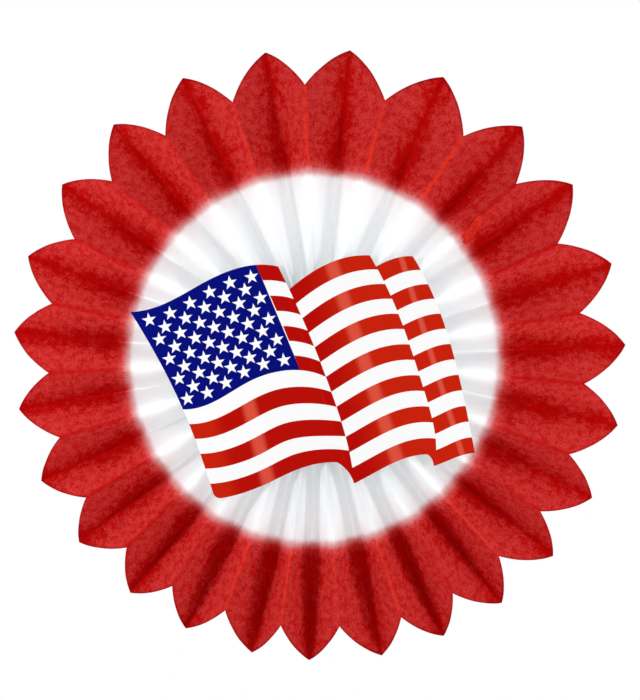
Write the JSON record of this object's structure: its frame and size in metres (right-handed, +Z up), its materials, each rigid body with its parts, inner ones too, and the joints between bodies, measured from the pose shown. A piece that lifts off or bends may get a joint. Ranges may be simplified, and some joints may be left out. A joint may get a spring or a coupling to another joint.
{
  "type": "paper fan rosette",
  "caption": "Round hanging fan of pleated tissue paper with a pointed-petal rim, white centre and red border, and a die-cut waving flag card fixed on its hub.",
  "frame": {"origin": "centre of the hub on the back plane, where the fan's back folds touch the wall it hangs on", "axes": "+Z up, +X to the right seen from the front, -Y towards the viewer, +Y into the wall"},
  "size_m": [0.4995, 0.0397, 0.4984],
  "materials": {
    "tissue": "matt dyed tissue, red at the rim and white round the hub",
    "thread": "cotton thread",
    "glue": "set glue",
    "card": "gloss coated white card",
    "red_print": "gloss red print",
    "blue_print": "gloss blue print"
  },
  "bodies": {
    "root": {"pleated_tissue": "tissue", "centre_tie": "thread", "glue_spot": "glue", "flag_card": "card", "stripe_print": "red_print", "canton_print": "blue_print"}
  },
  "joints": []
}
